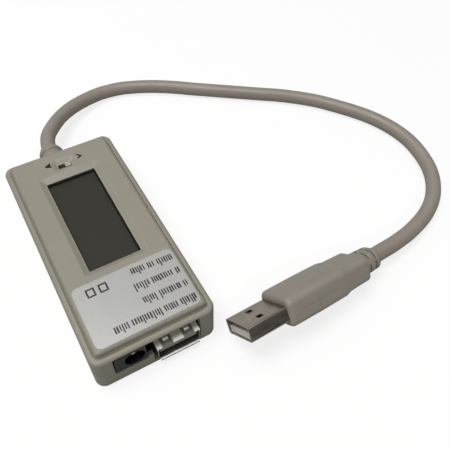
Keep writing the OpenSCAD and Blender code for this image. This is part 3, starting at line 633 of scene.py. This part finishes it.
combine(tray, [face_cut(-12.9, 13.0, 5.2, 12.8, 0.5), face_cut(-12.9, -3.1, 4.7, 8.6, 0.3),
               face_cut(-1.4, 13.0, 1.25, 8.6, 0.4)])
hole = [(0.01, FAR - 3), (3.2, FAR - 3), (3.2, FAR - 0.2), (3.25, FAR - 0.08), (3.4, FAR + 0.02),
        (3.6, FAR + 1), (0.01, FAR + 1)]
combine(tray, [lathe("cutter", hole, GX, GZ, None, 48)])
for x, y in BOSSES:
    combine(tray, [cylinder(x, y, -1, 8, 1.2, 32)])
    rings = [circle(x, y, z, r) for z, r in ((-1, 2.35), (0, 2.3), (0.12, 2.12), (0.3, 2.05), (2.2, 2.05))]
    combine(tray, [put("cutter", *loft(rings), None)])
repaint(tray, case_mat)
even(tray)
keep(tray, "case_plastic", "case_lower")

# ---------------------------------------------------------------- case cover
UNDER = TOP - 1.5                               # underside of the cover's plate
CR = (0.9, 0.9, 1.25, 1.25)                     # corner radii, from far right
steps = [(1.5, UNDER), (1.5, RIM - 0.7), (0.0, RIM - 0.7), (-0.13, RIM - 0.55), (-0.13, RIM - 0.12),
         (-0.10, RIM - 0.02), (-0.03, RIM + 0.07), (0.07, RIM + 0.16), (0.16, RIM + 0.3), (0.22, RIM + 0.5),
         (0.25, TOP - 1.15)]
steps += [(0.25 + e, TOP - 1.1 + z) for e, z in quarter(1.1)]
cover = stack("case_cover", 0, MID, COVER_W, COVER_L, CR, steps)
WX, WY0, WY1 = 8.0, MID - 12.5, MID + 25.1      # half width and two ends of the window


def pocket(x0, x1, y0, y1, ex0, ex1, ey0, ey1, depth, r):
    """Cutter with sloping, softly rounded sides: the inner box, and how far each side spreads upwards."""
    rings = []
    for t, z in ((0.0, -3.0), (0.0, -depth - 0.1), (0.02, -depth), (0.1, -depth * 0.95), (0.3, -depth * 0.78),
                 (0.5, -depth * 0.54), (0.66, -depth * 0.34), (0.8, -depth * 0.17), (0.9, -depth * 0.07),
                 (1.0, -depth * 0.015), (1.08, 0.0), (1.12, 0.6)):
        rings.append(level(x0 - ex0 * t, x1 + ex1 * t, y0 - ey0 * t, y1 + ey1 * t, TOP + z, r + 1.2 * t))
    return put("cutter", *loft(rings), None)


combine(cover, [pocket(-WX, WX, WY0, WY1, 1.9, 1.9, 1.6, 2.8, 0.8, 0.25)])
SX, SY = 0.1, MID + 30.85                       # middle of the switch slot
rings = []
for t, z in ((0, -0.8), (0.06, -0.78), (0.2, -0.68), (0.4, -0.47), (0.58, -0.29), (0.74, -0.15), (0.88, -0.06),
             (1.0, -0.015), (1.1, 0.0), (1.15, 0.5)):
    rings.append(level(SX - 2.5 - 1.5 * t, SX + 2.6 + 1.5 * t, SY - 1.15 - 0.75 * t, SY + 1.2 + 1.8 * t,
                       TOP + z, 0.4 + 1.3 * t))
combine(cover, [put("cutter", *loft(rings), None)])
slot_steps = [(0, UNDER - 1), (0, TOP - 0.86), (-0.06, TOP - 0.7)]
combine(cover, [stack("cutter", SX, SY, 4.3, 1.9, 0.15, slot_steps, None, 4)])
repaint(cover, cover_mat, wall_shade_mat, far_wall_shade_mat, sharp=26)
# painted shade: dark inner walls of the window, the far one lighter
for f in cover.data.polygons:
    c = f.center / MM
    if abs(c.x) < WX + 0.1 and WY0 - 0.1 < c.y < WY1 + 0.1 and c.z < TOP - 0.79:
        f.material_index = 2 if f.normal.y < -0.9 else 1
even(cover)
keep(cover, "case_plastic", "case_upper")

# ---------------------------------------------------------------- label and marks
LX, LY, LW, LL = 0.1, MID - 26.7, 30.8, 20.6    # middle, width and length of the label
steps = [(0.0, TOP - 0.01), (0.0, TOP + 0.09), (0.02, TOP + 0.115), (0.06, TOP + 0.12)]
label = stack("label_film", LX, LY, LW, LL, 1.8, steps, label_mat)
keep(label, "label_silver", "label")

rng = random.Random(4)
verts, faces = [], []


def tick(cx, cy, w, h):
    """One printed bar on the label, added to verts and faces."""
    base = len(verts)
    for z, e in ((TOP + 0.12 - 0.005, 0), (TOP + 0.12 + 0.035, 0.01)):
        verts.extend([(cx - w / 2 + e, cy - h / 2 + e, z), (cx + w / 2 - e, cy - h / 2 + e, z),
                      (cx + w / 2 - e, cy + h / 2 - e, z), (cx - w / 2 + e, cy + h / 2 - e, z)])
    for f in ((3, 2, 1, 0), (4, 5, 6, 7), (0, 1, 5, 4), (1, 2, 6, 5), (2, 3, 7, 6), (3, 0, 4, 7)):
        faces.append(tuple(base + k for k in f))


def words(x_start, y_start, slope, counts):
    """A printed row as plain upright ticks: each count is one word."""
    x = x_start
    for count in counts:
        for _ in range(count):
            tall = rng.choice((1.9, 1.9, 1.9, 2.1, 2.7))
            y = y_start + slope * (x_start - x)
            tick(x, y - (tall - 1.9) / 2, rng.choice((0.36, 0.42, 0.5)), tall)
            x -= rng.choice((0.66, 0.72, 0.8))
        x -= 0.7


words(14.4, MID - 19.5, 0.06, (7, 3, 6))
words(14.3, MID - 24.5, 0.04, (2, 9, 6))
words(14.4, MID - 29.4, 0.035, (2, 9, 6))
words(14.5, MID - 34.4, 0.03, (7, 6, 12, 6))
# two plain open squares
for cx in (-10.4, -6.7):
    for dx in (-1.05, 1.05):
        tick(cx + dx, MID - 19.8, 0.5, 2.9)
    for dy in (-1.2, 1.2):
        tick(cx, MID - 19.8 + dy, 1.6, 0.5)
printing = put("label_printing", verts, faces, ink_mat)
keep(printing, "print_ink", "label_print")

verts, faces = [], []


def plate(points):
    """One printed mark on the cover, added to verts and faces."""
    base, k, z0, z1 = len(verts), len(points), TOP - 0.005, TOP + 0.035
    verts.extend([(x, y, z0) for x, y in points] + [(x, y, z1) for x, y in points])
    faces.append(tuple(base + k - 1 - i for i in range(k)))
    faces.append(tuple(base + k + i for i in range(k)))
    for i in range(k):
        faces.append((base + i, base + (i + 1) % k, base + k + (i + 1) % k, base + k + i))


plate([(-6.0, MID + 32.45), (-5.95, MID + 31.85), (-4.05, MID + 31.05), (-4.3, MID + 32.2),
       (-3.95, MID + 33.4)])
plate([(6.6, MID + 31.7), (5.15, MID + 33.3), (4.75, MID + 33.0), (5.6, MID + 31.9), (4.7, MID + 31.4),
       (4.9, MID + 30.9)])
marks = put("switch_arrow_marks", verts, faces, mark_mat)
keep(marks, "print_ink", "switch_marks")

# ---------------------------------------------------------------- floor, light
EDGE, LEVEL = 4000, -0.05                        # half the side of the floor and its height, in mm
corners = [(-EDGE, -EDGE, LEVEL), (EDGE, -EDGE, LEVEL), (EDGE, EDGE, LEVEL), (-EDGE, EDGE, LEVEL)]
floor = put("floor", corners, [(0, 1, 2, 3)], None)
floor_mat = material("floor_paper", (0.9, 0.9, 0.9), rough=0.8, var=0.004, var_scale=3, fine=0.003, bump=0.05,
                     bump_mm=0.02, bump_scale=900)
# the sheet looks lighter to the camera than the light it throws back on the object
tree = floor_mat.node_tree
path, dull, glow = (tree.nodes.new("ShaderNode" + k) for k in ("LightPath", "BsdfDiffuse", "Emission"))
dull.inputs["Color"].default_value = (0.52, 0.52, 0.5, 1)
blend, pick = tree.nodes.new("ShaderNodeMixShader"), tree.nodes.new("ShaderNodeMixShader")
blend.inputs["Fac"].default_value = 0.8
tree.links.new(tree.nodes["Principled BSDF"].outputs[0], blend.inputs[1])
tree.links.new(glow.outputs[0], blend.inputs[2])
tree.links.new(path.outputs["Is Camera Ray"], pick.inputs["Fac"])
tree.links.new(dull.outputs[0], pick.inputs[1])
tree.links.new(blend.outputs[0], pick.inputs[2])
tree.links.new(pick.outputs[0], tree.nodes["Material Output"].inputs["Surface"])
floor.data.materials.append(floor_mat)
floor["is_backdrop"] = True


def area(name, where, target, size, watts):
    light = bpy.data.lights.new(name, "AREA")
    light.shape, light.size, light.energy = "DISK", size, watts
    o = bpy.data.objects.new(name, light)
    scene.collection.objects.link(o)
    o.location = where
    o.rotation_euler = (Vector(target) - Vector(where)).to_track_quat("-Z", "Y").to_euler()


area("key", (-0.28, 0.08, 1.2), (0.03, 0, 0), 0.7, 12.6)
area("fill", (0.0, -0.7, 0.6), (0.03, 0, 0), 0.12, 0.9)
world = bpy.data.worlds.new("studio")
scene.world = world
world.use_nodes = True
sky = world.node_tree
back = sky.nodes["Background"]
back.inputs["Color"].default_value = (0.98, 0.97, 0.95, 1)
# brighter overhead than at the horizon
where, parts, slope = (sky.nodes.new("ShaderNode" + k) for k in ("TexCoord", "SeparateXYZ", "MapRange"))
slope.inputs["To Min"].default_value, slope.inputs["To Max"].default_value = 0.08, 0.6
sky.links.new(where.outputs["Generated"], parts.inputs[0])
sky.links.new(parts.outputs["Z"], slope.inputs["Value"])
# less light from the near side
near_side, both = sky.nodes.new("ShaderNodeMapRange"), sky.nodes.new("ShaderNodeMath")
near_side.inputs["From Min"].default_value = -1
near_side.inputs["To Min"].default_value, near_side.inputs["To Max"].default_value = 0.2, 1.1
both.operation = "MULTIPLY"
sky.links.new(parts.outputs["Y"], near_side.inputs["Value"])
sky.links.new(slope.outputs["Result"], both.inputs[0])
sky.links.new(near_side.outputs["Result"], both.inputs[1])
sky.links.new(both.outputs[0], back.inputs["Strength"])

low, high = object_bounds()
